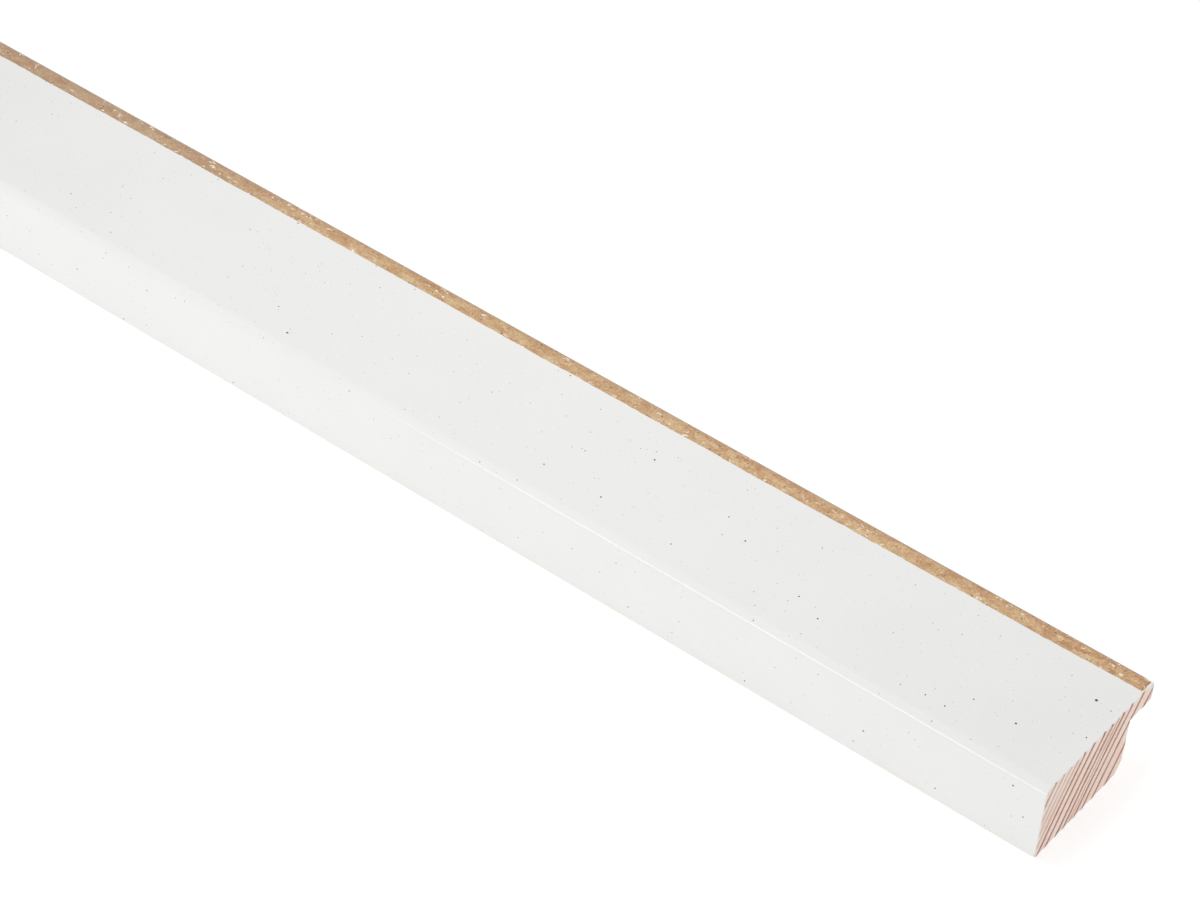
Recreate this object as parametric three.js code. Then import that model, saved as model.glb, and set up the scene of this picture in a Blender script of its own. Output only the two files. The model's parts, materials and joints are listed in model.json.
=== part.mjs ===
// One stick of picture frame moulding: pine with a flat white face, an eased outer arris, a gilt sight edge
// and a rebate behind the lip for the glass, the picture and its backing board.
// Millimetres. +X runs along the stick, +Y from the outer side to the sight edge, +Z from the back to the face.
import * as THREE from 'three';

// Driving dimensions
const stickLength = 250;
const faceWidth = 30;
const stickDepth = 14.6;
const rebateWidth = 6.1;
const rebateDepth = 10.7;

// Corners of the profile
const outerArrisRadius = 1.6;
const sightEdgeRadius = 1.0;
const lipCornerRadius = 0.3;
const outerBackRadius = 0.4;
const innerBackChamfer = { width: 1.5, height: 2.1 };
const segmentsPerRound = 8;

// Finish
const paint = { color: 0xededeb, roughness: 0.5, metalness: 0 };

const quarterTurn = Math.PI / 2;

// The cross-section, seen from the near end: across the face, then up from the back.
function mouldingProfile() {
  const outerSide = -faceWidth / 2;
  const sightEdge = faceWidth / 2;
  const rebateWall = sightEdge - rebateWidth;
  const profile = new THREE.Shape();

  // A convex corner of the profile, rounded through a quarter turn.
  const roundCorner = (radius, y, z, startAngle) => {
    profile.absarc(y, z, radius, startAngle, startAngle + quarterTurn, false);
  };

  // Flat back, and its corner beside the rebate
  profile.moveTo(outerSide + outerBackRadius, 0);
  profile.lineTo(rebateWall - innerBackChamfer.width, 0);
  profile.lineTo(rebateWall, innerBackChamfer.height);

  // Rebate and the lip that covers it
  profile.lineTo(rebateWall, rebateDepth);
  roundCorner(lipCornerRadius, sightEdge - lipCornerRadius, rebateDepth + lipCornerRadius, -quarterTurn);
  roundCorner(sightEdgeRadius, sightEdge - sightEdgeRadius, stickDepth - sightEdgeRadius, 0);

  // Face, outer side and the corner back to the start
  roundCorner(outerArrisRadius, outerSide + outerArrisRadius, stickDepth - outerArrisRadius, quarterTurn);
  roundCorner(outerBackRadius, outerSide + outerBackRadius, outerBackRadius, 2 * quarterTurn);
  return profile;
}

// The profile runs straight along the stick, and both ends are cut square.
function mouldingGeometry() {
  const geometry = new THREE.ExtrudeGeometry(mouldingProfile(), {
    depth: stickLength,
    curveSegments: segmentsPerRound / 2, // an arc takes two steps for each curve segment
    bevelEnabled: false,
  });
  geometry.translate(0, 0, -stickLength / 2);

  // Across the profile becomes +Y, up the profile +Z, and the extrusion +X.
  const alongStick = new THREE.Matrix4().makeBasis(
    new THREE.Vector3(0, 1, 0),
    new THREE.Vector3(0, 0, 1),
    new THREE.Vector3(1, 0, 0),
  );
  return geometry.applyMatrix4(alongStick);
}

const moulding = new THREE.Mesh(mouldingGeometry(), new THREE.MeshStandardMaterial(paint));
moulding.name = 'moulding';

const frameMoulding = new THREE.Group();
frameMoulding.add(moulding);

export default frameMoulding;
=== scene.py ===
import json
import math
from bisect import bisect_right
from itertools import accumulate

import bmesh
import bpy
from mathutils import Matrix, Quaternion, Vector, noise


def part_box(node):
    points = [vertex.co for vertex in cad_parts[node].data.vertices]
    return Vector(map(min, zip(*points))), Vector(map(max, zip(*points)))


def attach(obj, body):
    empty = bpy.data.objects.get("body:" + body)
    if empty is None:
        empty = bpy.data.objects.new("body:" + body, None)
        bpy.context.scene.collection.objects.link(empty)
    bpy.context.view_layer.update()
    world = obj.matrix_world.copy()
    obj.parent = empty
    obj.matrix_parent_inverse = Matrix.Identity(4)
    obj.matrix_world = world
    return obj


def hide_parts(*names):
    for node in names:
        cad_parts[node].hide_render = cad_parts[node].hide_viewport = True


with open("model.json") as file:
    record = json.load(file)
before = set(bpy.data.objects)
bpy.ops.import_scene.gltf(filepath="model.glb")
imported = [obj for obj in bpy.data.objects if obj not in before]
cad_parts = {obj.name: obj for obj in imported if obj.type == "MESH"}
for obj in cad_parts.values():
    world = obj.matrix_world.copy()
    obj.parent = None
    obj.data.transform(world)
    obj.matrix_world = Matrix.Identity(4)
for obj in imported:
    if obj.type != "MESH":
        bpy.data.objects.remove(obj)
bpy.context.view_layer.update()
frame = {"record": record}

# Meshes are worked out in millimetres and scaled to metres when they are finished.
mm = 0.001
closeBy = 1e-3  # nearer than this, in millimetres, is the same place
weld = 1e-4  # points nearer than this are merged
low, high = (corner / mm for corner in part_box("moulding"))
mounts = {mount["name"]: Vector(mount["pos_m"]) / mm for mount in frame["record"]["mounts"]}
rebateWall = mounts["rebate_wall"].y
rebateSeat = mounts["rebate_seat"].z
alongStick = Vector((1, 0, 0))

# Corners of the profile, as they were planed and coated
corners = {
    "arrisRadius": 1.6,
    "sightRadius": 1.0,
    "lipRadius": 0.3,
    "outerBackRadius": 0.4,
    "chamferWidth": 1.5,
    "chamferHeight": 2.1,
    "segments": 10,
}


# Small helpers for meshes


def roundCorner(bm, vert, radius):
    bmesh.ops.bevel(bm, geom=[vert], offset=radius, offset_type="OFFSET", segments=corners["segments"],
                    profile=0.5, affect="VERTICES", material=-1)


def cutAcross(bm, normal, places, onPlane=1e-5):
    for place in places:
        everything = bm.verts[:] + bm.edges[:] + bm.faces[:]
        bmesh.ops.bisect_plane(bm, geom=everything, plane_co=normal * place, plane_no=normal, dist=onPlane)


def evenly(start, end, step):
    count = max(1, round((end - start) / step))
    return [start + (end - start) * i / count for i in range(count + 1)]


def runsAlong(edge):
    first, second = edge.verts
    return abs(first.co.x - second.co.x) > closeBy


def wave(x, y, z, size):
    return noise.noise(Vector((x, y, z)) / size)


def fade(value, start, end):
    part = max(0, min(1, (value - start) / (end - start)))
    return part * part * (3 - 2 * part)


def finishPiece(bm, name, finishes, sharpAngle=32):
    bmesh.ops.remove_doubles(bm, verts=bm.verts[:], dist=weld)
    bmesh.ops.recalc_face_normals(bm, faces=bm.faces[:])
    bmesh.ops.scale(bm, verts=bm.verts[:], vec=(mm, mm, mm))
    mesh = bpy.data.meshes.new(name)
    bm.to_mesh(mesh)
    bm.free()
    for finish in finishes:
        mesh.materials.append(finish)
    mesh.shade_smooth()
    mesh.set_sharp_from_angle(angle=math.radians(sharpAngle))
    piece = bpy.data.objects.new(name, mesh)
    bpy.context.scene.collection.objects.link(piece)
    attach(piece, "root")
    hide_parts("moulding")
    print(name, len(mesh.vertices), "points", len(mesh.polygons), "faces")


# Shader maths and nodes


class Value:
    def __init__(self, finish, socket):
        self.finish = finish
        self.socket = socket

    def math(self, operation, first, second=0.0):
        return self.finish.add("Math", {"operation": operation}, {0: first, 1: second})

    def also(self, output):
        return Value(self.finish, self.socket.node.outputs[output])

    def __add__(self, other):
        return self.math("ADD", self, other)

    def __radd__(self, other):
        return self.math("ADD", other, self)

    def __sub__(self, other):
        return self.math("SUBTRACT", self, other)

    def __rsub__(self, other):
        return self.math("SUBTRACT", other, self)

    def __mul__(self, other):
        return self.math("MULTIPLY", self, other)

    def __rmul__(self, other):
        return self.math("MULTIPLY", other, self)

    def __truediv__(self, other):
        return self.math("DIVIDE", self, other)

    def floor(self):
        return self.math("FLOOR", self)

    def atLeast(self, other):
        return self.math("MAXIMUM", self, other)

    def atMost(self, other):
        return self.math("MINIMUM", self, other)

    def rise(self, start, end):
        settings = {"interpolation_type": "SMOOTHSTEP"}
        return self.finish.add("MapRange", settings, {"Value": self, "From Min": start, "From Max": end})


class Finish:
    def __init__(self, name, **constants):
        self.material = bpy.data.materials.new(name)
        self.material.use_nodes = True
        self.tree = self.material.node_tree
        self.shader = self.tree.nodes["Principled BSDF"]
        self.paint(**constants)

    def add(self, kind, settings, sockets, output=0):
        node = self.tree.nodes.new("ShaderNode" + kind)
        for name, value in settings.items():
            if name == "stops":
                self.setStops(node.color_ramp, value)
            else:
                setattr(node, name, value)
        for name, value in sockets.items():
            self.feed(node.inputs[name], value)
        return Value(self, node.outputs[output])

    def setStops(self, ramp, stops):
        while len(ramp.elements) < len(stops):
            ramp.elements.new(1.0)
        for element, (position, color) in zip(ramp.elements, stops):
            element.position = position
            element.color = color

    def feed(self, socket, value):
        if isinstance(value, Value):
            self.tree.links.new(value.socket, socket)
        else:
            socket.default_value = value

    def place(self, stretch=(1, 1, 1), turn=0.0):
        # object coordinates in millimetres, turned about the stick, then drawn out along each axis
        coordinates = self.add("TexCoord", {}, {}, "Object")
        turned = self.add("Mapping", {}, {"Vector": coordinates, "Rotation": (turn, 0, 0)})
        scale = [1 / mm / amount for amount in stretch]
        return self.add("Mapping", {}, {"Vector": turned, "Scale": scale})

    def axis(self, place, letter):
        return self.add("SeparateXYZ", {}, {"Vector": place}, letter)

    def cloud(self, place, size, detail=2.0, roughness=0.5):
        sockets = {"Vector": place, "Scale": 1 / size, "Detail": detail, "Roughness": roughness}
        return self.add("TexNoise", {}, sockets, "Fac")

    def cells(self, place, size):
        # distance to the nearest cell's centre in millimetres, and a number of its own for each cell
        gap = self.add("TexVoronoi", {}, {"Vector": place, "Scale": 1 / size}, "Distance")
        draw = self.add("SeparateColor", {}, {"Color": gap.also("Color")}, "Red")
        return gap * size, draw

    def mix(self, amount, first, second):
        return self.add("Mix", {"data_type": "RGBA"}, {0: amount, 6: first, 7: second}, 2)

    def ramp(self, amount, *stops):
        return self.add("ValToRGB", {"stops": stops}, {"Fac": amount}, "Color")

    def attribute(self, name):
        return self.add("Attribute", {"attribute_name": name}, {}, "Fac")

    def bump(self, height, depth):
        # height runs from 0 to 1 and stands for that depth in millimetres
        return self.add("Bump", {}, {"Height": height, "Distance": depth * mm, "Strength": 1.0})

    def paint(self, **sockets):
        for name, value in sockets.items():
            self.feed(self.shader.inputs[name.replace("_", " ")], value)
        return self.material


# Pine stick: end grain at the cuts, long grain on the back, the rebate and under the lip

pine = {
    "inset": 0.30,  # pine lies this far under the painted faces
    "ringTilt": math.radians(55),  # of the growth lines, from across the face towards the face
    "ringStart": -22.2,  # first growth line, measured across them from the middle of the back
    "ringWidths": (1.7, 1.8, 1.8, 1.5, 1.5, 1.5, 2.0, 2.4, 1.7, 1.6, 0.9, 1.8, 2.4, 3.0, 3.2, 2.0),
    "lateWoods": (0.5, 0.6, 0.7, 0.5, 0.4, 0.5, 0.95, 0.95, 1.0, 0.95, 0.7, 1.0, 0.9, 0.95, 0.95, 0.8),
    "lateReach": 1.35,  # late wood fades out over this width
    "lateShare": 0.85,  # but over no more than this share of its ring
    "ringMiddle": 4.0,
    "pithDistance": 205.0,
    "sways": ((0.4, 47), (0.15, 13.7)),  # of the growth lines along the stick: how far, over what length
    "waver": 0.05,
    "fineStep": 0.16,  # between cuts that follow the growth lines
    "coarseStep": 1.1,  # along the growth lines
    "lengthStep": 4.0,
    "ridge": 0.05,  # hard late wood stands proud of the saw cut
    "telegraph": 0.12,  # and rises into the gesso
    "cutTelegraph": 0.25,  # most of all where the saw dragged it up
    "cutReach": 6,  # over this length beside the cut
    "sawMark": 0.02,
    "sawAcross": Vector((0, 0.34, 0.94)),  # direction across the saw marks
    "sawRate": 7.1,  # how fast they follow each other, in radians to the millimetre
    "setBack": 0.03,  # keeps the ridges about the plane of the cut
    "raySize": 0.35,
    "poreSize": 0.16,
    "fibreSize": 0.3,
    "hairSize": 0.12,
    "canalSpacing": 1.9,  # between resin canals
    "endEarly": ((0.86, 0.75, 0.66, 1), (0.83, 0.655, 0.56, 1)),
    "endLate": (0.35, 0.12, 0.078, 1),
    "endPore": (0.60, 0.38, 0.30, 1),
    "longEarly": ((0.85, 0.695, 0.56, 1), (0.81, 0.62, 0.475, 1)),
    "longLate": (0.55, 0.265, 0.15, 1),
    "longFibre": (0.63, 0.42, 0.27, 1),
    "resin": (0.30, 0.14, 0.07, 1),
}

ringAcross = Vector((0, math.sin(pine["ringTilt"]), -math.cos(pine["ringTilt"])))
ringAlong = Vector((0, math.cos(pine["ringTilt"]), math.sin(pine["ringTilt"])))
ringEdges = list(accumulate(pine["ringWidths"], initial=pine["ringStart"]))


def ringPlace(co):
    # the growth ring that a point lies in, and how far it is across that ring, from the late wood
    along = co.dot(ringAlong) - pine["ringMiddle"]
    run = high.x - co.x
    wander = sum(amount * math.sin(run / length) for amount, length in pine["sways"])
    wander += pine["waver"] * wave(co.x, along, 0, 4)
    across = co.dot(ringAcross) - along * along / (2 * pine["pithDistance"]) + wander
    ring = max(0, min(len(pine["ringWidths"]) - 1, bisect_right(ringEdges, across) - 1))
    return ring, (across - ringEdges[ring]) / pine["ringWidths"][ring]


def lateness(co):
    # 1 in hard late wood, fading to 0 in soft early wood
    ring, part = ringPlace(co)
    return pine["lateWoods"][ring] * (1 - fade(part, 0.1, 0.5))


def sawnRelief(co):
    teeth = math.sin(co.dot(pine["sawAcross"]) * pine["sawRate"] + 1.7 * wave(0, co.y, co.z, 5))
    rough = wave(co.x, co.y, co.z, 0.45)
    marks = pine["sawMark"] * (0.6 * teeth + 0.8 * rough)
    return pine["ridge"] * lateness(co) + marks - pine["setBack"]


def pineOutline(bm):
    inset = pine["inset"]
    outer = low.y + inset
    sight = high.y - inset
    face = high.z - inset
    outline = [
        (outer, 0, corners["outerBackRadius"] - inset / 3),
        (rebateWall - corners["chamferWidth"], 0, 0),
        (rebateWall, corners["chamferHeight"], 0),
        (rebateWall, rebateSeat, 0),
        (sight, rebateSeat, corners["lipRadius"] - inset / 3),
        (sight, face, corners["sightRadius"] - inset),
        (outer, face, corners["arrisRadius"] - inset),
    ]
    verts = [bm.verts.new((low.x, y, z)) for y, z, radius in outline]
    bm.faces.new(verts)
    for vert, (y, z, radius) in zip(verts, outline):
        if radius:
            roundCorner(bm, vert, radius)


def makePineStick(finishes):
    bm = bmesh.new()
    pineOutline(bm)
    reach = high.y + high.z
    cutAcross(bm, ringAcross, evenly(-reach, reach, pine["fineStep"]))
    cutAcross(bm, ringAlong, evenly(-reach, reach, pine["coarseStep"]))
    grown = bmesh.ops.extrude_face_region(bm, geom=bm.faces[:], use_keep_orig=True)["geom"]
    nearVerts = [item for item in grown if isinstance(item, bmesh.types.BMVert)]
    bmesh.ops.translate(bm, verts=nearVerts, vec=alongStick * (high.x - low.x))
    longEdges = [edge for edge in bm.edges if runsAlong(edge)]
    cuts = round((high.x - low.x) / pine["lengthStep"]) - 1
    bmesh.ops.subdivide_edges(bm, edges=longEdges, cuts=cuts, use_grid_fill=True)
    for face in bm.faces:
        middle = face.calc_center_median()
        face.material_index = 1 if low.x + closeBy < middle.x < high.x - closeBy else 0
    rings = bm.verts.layers.float.new("rings")
    lateWoods = bm.verts.layers.float.new("lateWoods")
    lateReach = bm.verts.layers.float.new("lateReach")
    faceHeight = high.z - pine["inset"]
    for vert in bm.verts:
        ring, part = ringPlace(vert.co)
        vert[rings] = ring + part
        vert[lateWoods] = pine["lateWoods"][ring]
        vert[lateReach] = min(pine["lateShare"], pine["lateReach"] / pine["ringWidths"][ring])
        late = lateness(vert.co)
        if vert.co.x > high.x - closeBy:
            vert.co.x += sawnRelief(vert.co)
        elif vert.co.x < low.x + closeBy:
            vert.co.x -= sawnRelief(vert.co)
        if vert.co.z > faceHeight - closeBy:
            nearCut = fade(abs(vert.co.x), high.x - pine["cutReach"], high.x)
            rise = pine["telegraph"] + (pine["cutTelegraph"] - pine["telegraph"]) * nearCut
            vert.co.z += rise * late
    finishPiece(bm, "pineStick", finishes)


def lateBands(finish, fray, firm):
    # dark on the early side of each growth line, firm at first and then fading
    rings = finish.attribute("rings") + fray
    part = rings - rings.floor()
    fading = (part / finish.attribute("lateReach")).rise(firm, 1.0)
    return part.rise(0.0, 0.07) * (1 - fading) * finish.attribute("lateWoods")


def endGrainFinish():
    finish = Finish("endGrain", IOR=1.45)
    place = finish.place()
    toRings = math.pi / 2 - pine["ringTilt"]
    rays = finish.cloud(finish.place((1, 14, 1), toRings), pine["raySize"], detail=3, roughness=0.6)
    pores = finish.cloud(place, pine["poreSize"], detail=2)
    blotch = finish.cloud(place, 7, detail=2)
    late = lateBands(finish, (pores - 0.5) * 0.08, 0.26) * (0.82 + 0.4 * rays)
    wood = finish.mix(blotch.rise(0.3, 0.7), *pine["endEarly"])
    wood = finish.mix(rays.rise(0.5, 0.8) * 0.3, wood, pine["endPore"])
    wood = finish.mix(late.atMost(1.0), wood, pine["endLate"])
    wood = finish.mix(pores.rise(0.56, 0.75) * 0.3, wood, pine["endPore"])
    return finish.paint(
        Base_Color=wood,
        Roughness=0.66 + pores * 0.2 - late * 0.1,
        Normal=finish.bump(rays * 0.3 + pores * 0.7, 0.05),
    )


def longGrainFinish():
    finish = Finish("longGrain", IOR=1.45)
    place = finish.place()
    broad = finish.cloud(finish.place((70, 1, 1)), 1.3, detail=3, roughness=0.6)
    fibres = finish.cloud(finish.place((45, 1, 1)), pine["fibreSize"], detail=4, roughness=0.7)
    hairs = finish.cloud(finish.place((16, 1, 1)), pine["hairSize"], detail=2)
    blotch = finish.cloud(finish.place((3, 1, 1)), 6, detail=3)
    late = lateBands(finish, (fibres - 0.5) * 0.35 + (hairs - 0.5) * 0.12, 0.05) * (0.4 + 0.9 * broad)
    wood = finish.mix((0.5 * broad + 0.5 * blotch).rise(0.35, 0.65), *pine["longEarly"])
    wood = finish.mix(fibres.rise(0.48, 0.75) * 0.45, wood, pine["longFibre"])
    wood = finish.mix(late.atMost(0.9), wood, pine["longLate"])
    wood = finish.mix(hairs.rise(0.58, 0.75) * 0.35, wood, pine["longFibre"])
    # short dark dashes of cut resin canals
    gap, draw = finish.cells(finish.place((34, 1, 1)), pine["canalSpacing"])
    canals = (1 - (gap / (0.03 + 0.07 * draw)).rise(0.4, 1.0)) * draw.rise(0.4, 0.5)
    wood = finish.mix(canals * 0.55, wood, pine["resin"])
    # shallow ripples of the planer knives
    ripple = finish.add("Math", {"operation": "SINE"}, {0: finish.axis(place, "X") * 2.6}) * 0.5 + 0.5
    height = fibres * 0.45 + hairs * 0.25 + late * 0.15 + ripple * 0.15 - canals * 0.3
    return finish.paint(
        Base_Color=wood,
        Roughness=0.56 + fibres * 0.25 - late * 0.1,
        Normal=finish.bump(height, 0.06),
    )


# White coat: gesso and satin paint on the outer side, the arris, the face and the lip

coat = {
    "thickness": 0.32,
    "crossStep": 0.14,
    "lengthStep": 3.0,
    "endSteps": (0.12, 0.28, 0.5, 0.9, 1.6),  # extra rows of points beside each cut
    "ripple": 0.014,
    "chip": 0.12,  # deepest flake out of the paint along the saw cut
    "cornerWear": 1.1,
    "innerShare": 0.45,  # of a flake, on the inner side of the coat
    "white": (0.805, 0.800, 0.785, 1),
    "whiteCool": (0.790, 0.790, 0.782, 1),
    "driftSize": 14,
    "toothSize": 0.55,
    "bottomTone": (0.79, 0.775, 0.73, 1),  # faint warm tone along the lower edge of the outer side
    "speck": (0.07, 0.07, 0.075, 1),
    "speckLayers": ((0.95, 0.085, 0.5), (1.8, 0.12, 0.75), (3.3, 0.16, 0.95)),  # spacing, radius, darkness
    "speckRag": 0.16,  # outlines of the darkest specks waver this much
    # the darkest specks: place along the stick, place across the face or up the outer side, radius
    "faceSpecks": ((120.5, 5.5, 0.3), (123.5, -2, 0.15), (114, -6.5, 0.2), (106.5, -6.5, 0.15),
                   (104, -10.5, 0.16), (100.5, -10.5, 0.16), (79, -8, 0.18), (74, -6, 0.16),
                   (60.5, -1.5, 0.18), (38.5, 4, 0.2), (37.5, -8.5, 0.18), (-25.5, -11.5, 0.22)),
    "sideSpecks": ((122, 7, 0.15), (119.5, 12, 0.18), (107, 2.5, 0.15), (93.5, 5.5, 0.18)),
    "gesso": (0.83, 0.815, 0.78, 1),
    "dust": (0.70, 0.63, 0.56, 1),
}


def coatRipple(co):
    slow = wave(co.x * 0.35, co.y, co.z, 7)
    fast = wave(co.x * 0.6 + 40, co.y, co.z, 2.4)
    return coat["ripple"] * (slow + 0.35 * fast)


def flake(co, seed):
    # how far the paint is broken back from the saw cut: along the growth lines on the face, little elsewhere
    onFace = fade(co.z, high.z - 1.2, high.z - 0.4)
    ring, part = ringPlace(co)
    tooth = pine["lateWoods"][ring] * max(0, 1 - part / 0.4)
    patchy = 0.6 + 0.8 * abs(wave(seed, co.y, co.z, 2.7))
    worn = 0.10 * abs(wave(seed + 9, co.y, co.z, 0.8))
    corner = max(0, coat["cornerWear"] - math.hypot(co.y - low.y, co.z)) * 0.45
    return coat["chip"] * onFace * tooth * patchy + worn + corner


def coatPath(bm, path):
    verts = [bm.verts.new((low.x, y, z)) for y, z, radius in path]
    for first, second in zip(verts, verts[1:]):
        bm.edges.new((first, second))
    for vert, (y, z, radius) in zip(verts, path):
        if radius:
            roundCorner(bm, vert, radius)
    bmesh.ops.remove_doubles(bm, verts=bm.verts[:], dist=weld)


def splitEdges(bm, step):
    for edge in bm.edges[:]:
        cuts = round(edge.calc_length() / step) - 1
        if cuts > 0:
            bmesh.ops.subdivide_edges(bm, edges=[edge], cuts=cuts)


def drawOut(bm, start, end):
    grown = bmesh.ops.extrude_edge_only(bm, edges=bm.edges[:])["geom"]
    nearVerts = [item for item in grown if isinstance(item, bmesh.types.BMVert)]
    bmesh.ops.translate(bm, verts=nearVerts, vec=alongStick * (end - start))
    bmesh.ops.recalc_face_normals(bm, faces=bm.faces[:])


def makeWhiteCoat(finishes):
    bm = bmesh.new()
    outerBack = corners["outerBackRadius"]
    lip = corners["lipRadius"]
    coatPath(bm, [
        (low.y + outerBack, 0, 0),
        (low.y, 0, outerBack),
        (low.y, high.z, corners["arrisRadius"]),
        (high.y, high.z, corners["sightRadius"]),
        (high.y, rebateSeat, lip),
        (high.y - lip, rebateSeat, 0),
    ])
    splitEdges(bm, coat["crossStep"])
    drawOut(bm, low.x, high.x)
    rows = evenly(low.x, high.x, coat["lengthStep"])[1:-1]
    for step in coat["endSteps"]:
        rows += [low.x + step, high.x - step]
    cutAcross(bm, alongStick, rows)
    bm.normal_update()
    for vert in bm.verts:
        vert.co += vert.normal * coatRipple(vert.co)
    outside = set(bm.verts)
    bmesh.ops.solidify(bm, geom=bm.faces[:], thickness=coat["thickness"])
    for face in bm.faces:
        middle = face.calc_center_median()
        atCut = min(high.x - middle.x, middle.x - low.x) < closeBy
        face.material_index = 1 if atCut else 0
    reach = coat["endSteps"][2]
    for vert in bm.verts:
        share = 1.0 if vert in outside else coat["innerShare"]
        nearGap = high.x - vert.co.x
        farGap = vert.co.x - low.x
        if nearGap < reach:
            vert.co.x -= share * flake(vert.co, seed=3) * (1 - nearGap / reach)
        elif farGap < reach:
            vert.co.x += share * flake(vert.co, seed=17) * (1 - farGap / reach)
    finishPiece(bm, "whiteCoat", finishes)


def speckMask(finish, place):
    mask = None
    onFace = finish.axis(place, "Y").rise(low.y + 0.4, low.y + 1.0)
    for spacing, radius, darkness in coat["speckLayers"]:
        gap, draw = finish.cells(place, spacing)
        size = radius * (0.7 + 0.5 * draw)
        kept = onFace.atLeast(draw.rise(0.45, 0.5))
        layer = (1 - (gap / size).rise(0.55, 1.0)) * kept * darkness
        mask = mask.atLeast(layer) if mask else layer
    ragged = (finish.cloud(place, coat["speckRag"], detail=1) - 0.5) * coat["speckRag"]
    spots = [((x, y, high.z), radius) for x, y, radius in coat["faceSpecks"]]
    spots += [((x, low.y, z), radius) for x, z, radius in coat["sideSpecks"]]
    for centre, radius in spots:
        gap = finish.add("VectorMath", {"operation": "DISTANCE"}, {0: place, 1: centre}, "Value")
        mask = mask.atLeast(1 - (gap + ragged).rise(radius * 0.7, radius))
    return mask


def paintFinish():
    finish = Finish("whitePaint", IOR=1.48)
    place = finish.place()
    drift = finish.cloud(place, coat["driftSize"], detail=3)
    tooth = finish.cloud(finish.place((1.6, 1, 1)), coat["toothSize"], detail=2)
    white = finish.mix(drift.rise(0.3, 0.7), coat["white"], coat["whiteCool"])
    # slightly darker and warmer towards the bottom of the outer side, in patches
    lowEdge = 1 - finish.axis(place, "Z").rise(0.2, 2.6)
    bottomPatches = finish.cloud(finish.place((3, 1, 1)), 4, detail=2).rise(0.48, 0.7)
    white = finish.mix(lowEdge * bottomPatches * 0.8, white, coat["bottomTone"])
    return finish.paint(
        Base_Color=finish.mix(speckMask(finish, place), white, coat["speck"]),
        Roughness=0.11 + drift * 0.05 + tooth * 0.04,
        Normal=finish.bump(tooth * 0.6 + drift * 0.4, 0.012),
    )


def gessoFinish():
    finish = Finish("gesso", IOR=1.45)
    place = finish.place()
    chalk = finish.cloud(place, 0.25, detail=4, roughness=0.7)
    return finish.paint(
        Base_Color=finish.mix(chalk.rise(0.52, 0.8) * 0.5, coat["gesso"], coat["dust"]),
        Roughness=0.75 + chalk * 0.2,
        Normal=finish.bump(chalk, 0.05),
    )


# Gilded sight edge: a satin bronze-gold film over the coat on the lip

gilt = {
    "start": 11.5,  # lower edge of the band, across the face
    "nearStart": 11.65,  # and beside the near cut
    "proud": 0.02,
    "thickness": 0.06,
    "underLip": 0.35,  # the film stops this far short of the lip's lower corner
    "endGap": 0.26,  # and this far short of the saw cuts
    "noseGap": 0.22,  # with more broken off at the nose
    "crossStep": 0.3,
    "lengthStep": 0.4,
    "edgeWander": 0.12,
    "edgeReach": 1.0,  # the wandering dies out over this width
    "raggedEnd": 0.12,
    "endReach": 0.2,
    "raggedBottom": 0.15,
    "bottomReach": 0.6,
    "streakSize": 0.5,
    "mottleSize": 1.0,
    "grainSize": 0.3,
    "leafSize": 1.0,
    "leafBend": 1.2,  # how far the outlines of the leaf waver
    "leafBendSize": 0.7,
    "fleckSpacing": 0.8,
    "fineFleckSpacing": 0.42,
    "spotSpacing": 0.95,
    "wearOver": (3, 35),  # wear dies out over this stretch from each cut
    "wornCorner": (0.8, 1.9),
    "bronze": (0.57, 0.305, 0.158, 1),
    "body": (0.685, 0.43, 0.245, 1),
    "light": (0.78, 0.54, 0.305, 1),
    "pale": (0.86, 0.69, 0.43, 1),
    "noseShade": (0.46, 0.29, 0.15, 1),  # painted shade: darker on the nose
    "brownFrom": 12.5,  # the leaf turns browner from here, across the face
    "greyed": (0.45, 0.335, 0.26, 1),  # greyer towards the far end
    "greyedOver": (-80, -30),  # along the stick
    "turnShade": (0.47, 0.41, 0.34, 1),  # painted shade: grey where the face turns over
    "spot": (0.25, 0.185, 0.14, 1),
    "torn": (0.24, 0.11, 0.065, 1),
    "cream": (0.90, 0.81, 0.68, 1),
}


def edgeWander(x):
    slow = wave(x, 0, 5, 8)
    fast = wave(x, 0, 11, 1.1)
    nick = max(0, wave(x, 0, 23, 2.3) - 0.42) * 0.55
    nearEnd = (gilt["nearStart"] - gilt["start"]) * fade(x, high.x - 25, high.x - 4)
    return gilt["edgeWander"] * (slow + 0.8 * fast) + nick + nearEnd


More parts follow.
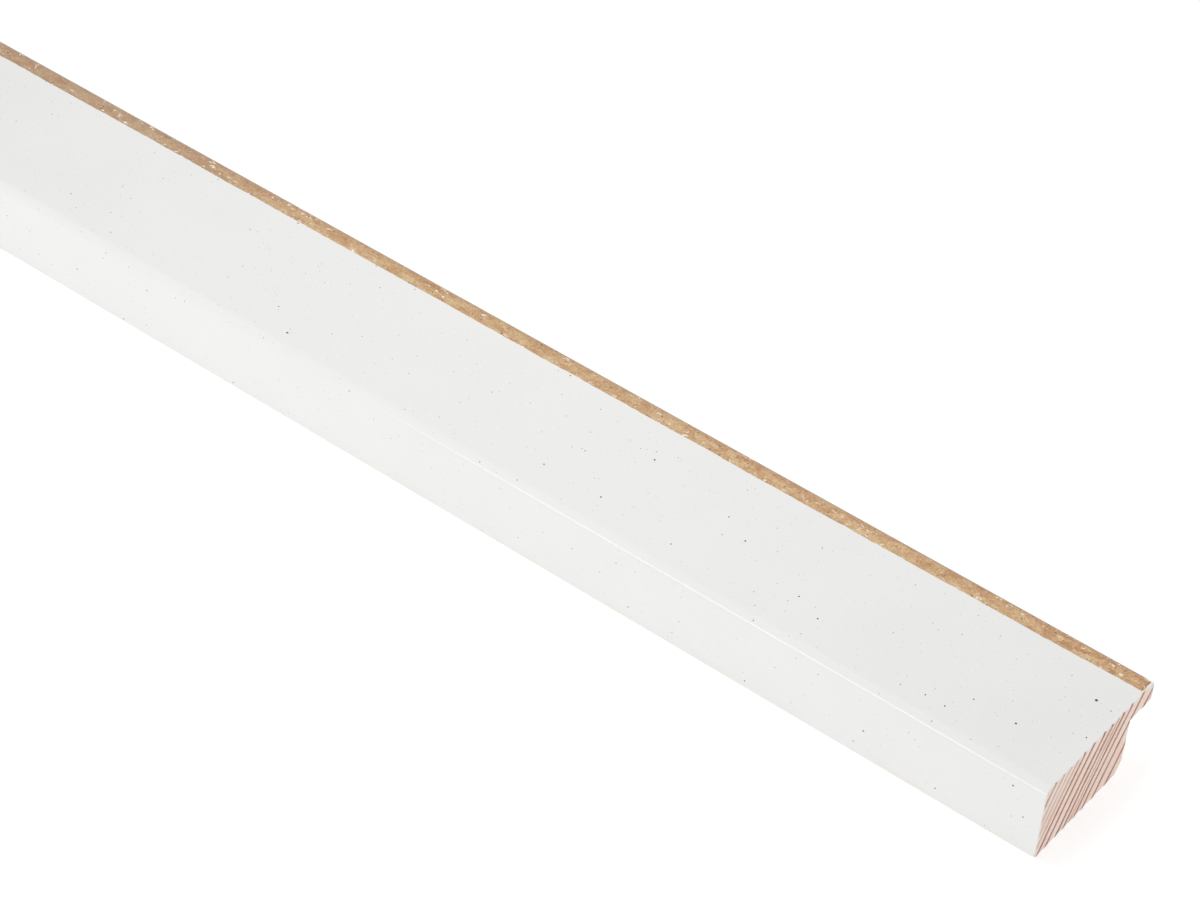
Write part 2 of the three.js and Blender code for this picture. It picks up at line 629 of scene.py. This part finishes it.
def makeGildedEdge(finishes):
    bm = bmesh.new()
    start = low.x + gilt["endGap"]
    end = high.x - gilt["endGap"]
    sight = high.y + gilt["proud"]
    face = high.z + gilt["proud"]
    bottom = rebateSeat + gilt["underLip"]
    coatPath(bm, [
        (gilt["start"], face, 0),
        (sight, face, corners["sightRadius"] + gilt["proud"]),
        (sight, bottom, 0),
    ])
    splitEdges(bm, gilt["crossStep"])
    bmesh.ops.translate(bm, verts=bm.verts[:], vec=alongStick * gilt["endGap"])
    drawOut(bm, start, end)
    longEdges = [edge for edge in bm.edges if runsAlong(edge)]
    cuts = round((end - start) / gilt["lengthStep"]) - 1
    bmesh.ops.subdivide_edges(bm, edges=longEdges, cuts=cuts, use_grid_fill=True)
    bm.normal_update()
    for vert in bm.verts:
        vert.co += vert.normal * coatRipple(vert.co)
        fromEdge = vert.co.y - gilt["start"]
        fromBottom = vert.co.z - bottom
        fromEnd = min(vert.co.x - start, end - vert.co.x)
        nose = fade(vert.co.y, high.y - 1.2, high.y)
        if fromEnd < gilt["endReach"]:
            inward = 1 if vert.co.x < 0 else -1
            ragged = gilt["raggedEnd"] * wave(vert.co.x, vert.co.y + vert.co.z, 31, 0.7)
            vert.co.x += inward * (ragged + gilt["noseGap"] * nose)
        if fromEdge < gilt["edgeReach"]:
            vert.co.y += edgeWander(vert.co.x) * (1 - fromEdge / gilt["edgeReach"])
        if fromBottom < gilt["bottomReach"]:
            ragged = gilt["raggedBottom"] * wave(vert.co.x, 3, 0, 1.7)
            vert.co.z += ragged * (1 - fromBottom / gilt["bottomReach"])
    bmesh.ops.solidify(bm, geom=bm.faces[:], thickness=gilt["thickness"])
    finishPiece(bm, "gildedEdge", finishes)


def giltFinish():
    finish = Finish("gilt")
    place = finish.place()
    drawn = finish.place((2.0, 1, 1))
    streaks = finish.cloud(finish.place((4, 1, 1)), gilt["streakSize"], detail=3, roughness=0.6)
    mottle = finish.cloud(finish.place((1.4, 1, 1)), gilt["mottleSize"], detail=4, roughness=0.65)
    grain = finish.cloud(place, gilt["grainSize"], detail=3)
    # leaf flakes with wavering outlines, each of its own tone
    bend = finish.add("TexNoise", {}, {"Vector": place, "Scale": 1 / gilt["leafBendSize"]}, "Color")
    reach = (gilt["leafBend"],) * 3
    bent = finish.add("VectorMath", {"operation": "MULTIPLY_ADD"}, {0: bend, 1: reach, 2: drawn})
    leafTone = finish.cells(bent, gilt["leafSize"])[1]
    across = finish.axis(place, "Y")
    height = finish.axis(place, "Z") + (mottle - 0.5) * 0.25
    browner = across.rise(gilt["brownFrom"], high.y - 0.3) * height.rise(high.z - 1.2, high.z - 0.5)
    along = finish.axis(place, "X")
    fromCut = (high.x - along).atMost(along - low.x)
    nearCut = 1 - fromCut.rise(*gilt["wearOver"])
    tone = 0.36 * leafTone + (1.0 + 0.8 * nearCut) * (mottle - 0.5) + 0.45 * (streaks - 0.5)
    tone = tone + 1.4 * (grain - 0.5) + 0.42 - 0.26 * browner - 0.12 * nearCut
    gold = finish.ramp(tone, (0.08, gilt["bronze"]), (0.40, gilt["body"]), (0.68, gilt["light"]),
                       (0.95, gilt["pale"]))
    gold = finish.mix((1 - along.rise(*gilt["greyedOver"])) * 0.4, gold, gilt["greyed"])
    # painted shade on the nose: darker brown over it and grey where the face turns over; torn brown at the
    # cuts
    turned = (across + (grain - 0.5) * 0.3).rise(high.y - 0.8, high.y - 0.35)
    gold = finish.mix(turned * (0.35 + 0.4 * mottle), gold, gilt["noseShade"])
    # painted shade: strongest at the top of the turn, falling off down the nose
    shadeFalloff = (height + (mottle - 0.5) * 1.6).rise(high.z - 2.8, high.z - 0.5)
    rim = (across + (grain - 0.5) * 0.5).rise(high.y - 1.15, high.y - 0.55)
    turnShade = rim * shadeFalloff * (0.35 + 0.65 * streaks.rise(0.36, 0.56))
    gold = finish.mix(turnShade * 0.8, gold, gilt["turnShade"])
    torn = 1 - (fromCut + (mottle - 0.5) * 0.6).rise(gilt["endGap"] + 0.1, gilt["endGap"] + 0.5)
    gold = finish.mix(torn * (0.3 + 0.5 * browner), gold, gilt["torn"])
    # flecks of gesso showing through, most near the cuts and along the lower edge, and dark spots
    nearEdge = 1 - across.rise(gilt["start"] + 0.3, gilt["start"] + 1.2)
    patchy = (finish.cloud(place, 4, detail=1) + nearEdge * 0.1 + nearCut * 0.14).rise(0.40, 0.56)
    gap, draw = finish.cells(bent, gilt["fleckSpacing"])
    flecks = 1 - ((gap + (grain - 0.5) * 0.25) / (0.08 + 0.22 * draw)).rise(0.5, 1.0)
    flecks = flecks * draw.rise(0.3, 0.42) * patchy * (1 - turned * 0.7)
    gap, draw = finish.cells(bent, gilt["fineFleckSpacing"])
    fine = 1 - (gap / (0.03 + 0.09 * draw)).rise(0.5, 1.0)
    flecks = flecks.atLeast(fine * draw.rise(0.4, 0.6) * 0.6)
    # worn through at the corners of the nose
    corner = 1 - (fromCut + (mottle - 0.5) * 1.5).rise(*gilt["wornCorner"])
    flecks = flecks.atLeast(corner * (across + (grain - 0.5) * 0.6).rise(high.y - 1.1, high.y - 0.6))
    gold = finish.mix(flecks, gold, gilt["cream"])
    gap, draw = finish.cells(place, gilt["spotSpacing"])
    spots = (1 - (gap / (0.08 + 0.15 * draw)).rise(0.6, 1.0)) * draw.rise(0.3, 0.5)
    gold = finish.mix(spots * 0.85, gold, gilt["spot"])
    return finish.paint(
        Base_Color=gold,
        Metallic=0.9 - flecks * 0.9 - turnShade * 0.3,
        Roughness=0.36 + mottle * 0.2 + flecks * 0.3,
        Normal=finish.bump(streaks * 0.5 + grain * 0.5, 0.02),
    )


# Floor, light and camera

studio = {
    "floor": (0.42, 0.42, 0.42, 1),
    "floorGlow": 0.665,
    "floorRadius": 4,
    "world": 0.79,
    "keyPower": 0.26,
    "keySize": (0.12, 0.20),
    "keyPlace": (0.0, 0.02, 0.31),
    "stripPower": 0.37,
    "stripSize": (0.26, 0.09),
    "stripPlace": (-0.13, -0.50, 0.065),
}

camera = {
    "lens": 108.58,
    "sensor": 36.0,
    "clipStart": 0.01,
    "azimuth": math.radians(35.424),
    "elevation": math.radians(41.858),
    "roll": math.radians(4.155),
    "distance": 0.57442,
    "aim": (0.03059, 0.00005, 0.0146),
}


def makeFloor():
    bm = bmesh.new()
    bmesh.ops.create_circle(bm, cap_ends=True, segments=96, radius=studio["floorRadius"])
    mesh = bpy.data.meshes.new("floor")
    bm.to_mesh(mesh)
    bm.free()
    finish = Finish("paleFloor", Base_Color=studio["floor"], Roughness=0.9)
    finish.paint(Emission_Color=(1, 1, 1, 1), Emission_Strength=studio["floorGlow"])
    mesh.materials.append(finish.material)
    floor = bpy.data.objects.new("floor", mesh)
    bpy.context.scene.collection.objects.link(floor)


def makeSoftbox(name, power, size, place, mirrored=True):
    lamp = bpy.data.lights.new(name, "AREA")
    lamp.energy = power
    lamp.shape = "RECTANGLE"
    lamp.size, lamp.size_y = size
    light = bpy.data.objects.new(name, lamp)
    light.location = place
    light.rotation_euler = (math.atan2(-place[1], place[2]), 0, 0)  # turned about the stick to face it
    light.visible_glossy = mirrored  # whether shiny surfaces mirror the lamp
    bpy.context.scene.collection.objects.link(light)


def makeStudio():
    world = bpy.data.worlds.new("studio")
    world.use_nodes = True
    background = world.node_tree.nodes["Background"]
    background.inputs["Color"].default_value = (1, 1, 1, 1)
    background.inputs["Strength"].default_value = studio["world"]
    bpy.context.scene.world = world
    makeSoftbox("key", studio["keyPower"], studio["keySize"], studio["keyPlace"], mirrored=False)
    makeSoftbox("strip", studio["stripPower"], studio["stripSize"], studio["stripPlace"])
    makeFloor()
    bpy.context.scene.view_settings.view_transform = "Standard"


def makeCamera():
    data = bpy.data.cameras.new("camera")
    data.lens = camera["lens"]
    data.sensor_width = camera["sensor"]
    data.clip_start = camera["clipStart"]
    level = math.cos(camera["elevation"])
    back = Vector((level * math.sin(camera["azimuth"]), -level * math.cos(camera["azimuth"]),
                   math.sin(camera["elevation"])))
    view = bpy.data.objects.new("camera", data)
    view.location = Vector(camera["aim"]) + back * camera["distance"]
    turn = back.to_track_quat("Z", "Y") @ Quaternion((0, 0, 1), camera["roll"])
    view.rotation_euler = turn.to_euler()
    bpy.context.scene.collection.objects.link(view)
    bpy.context.scene.camera = view


makeCamera()
makeStudio()
print("studio ready")
makePineStick([endGrainFinish(), longGrainFinish()])
makeWhiteCoat([paintFinish(), gessoFinish()])
makeGildedEdge([giltFinish()])
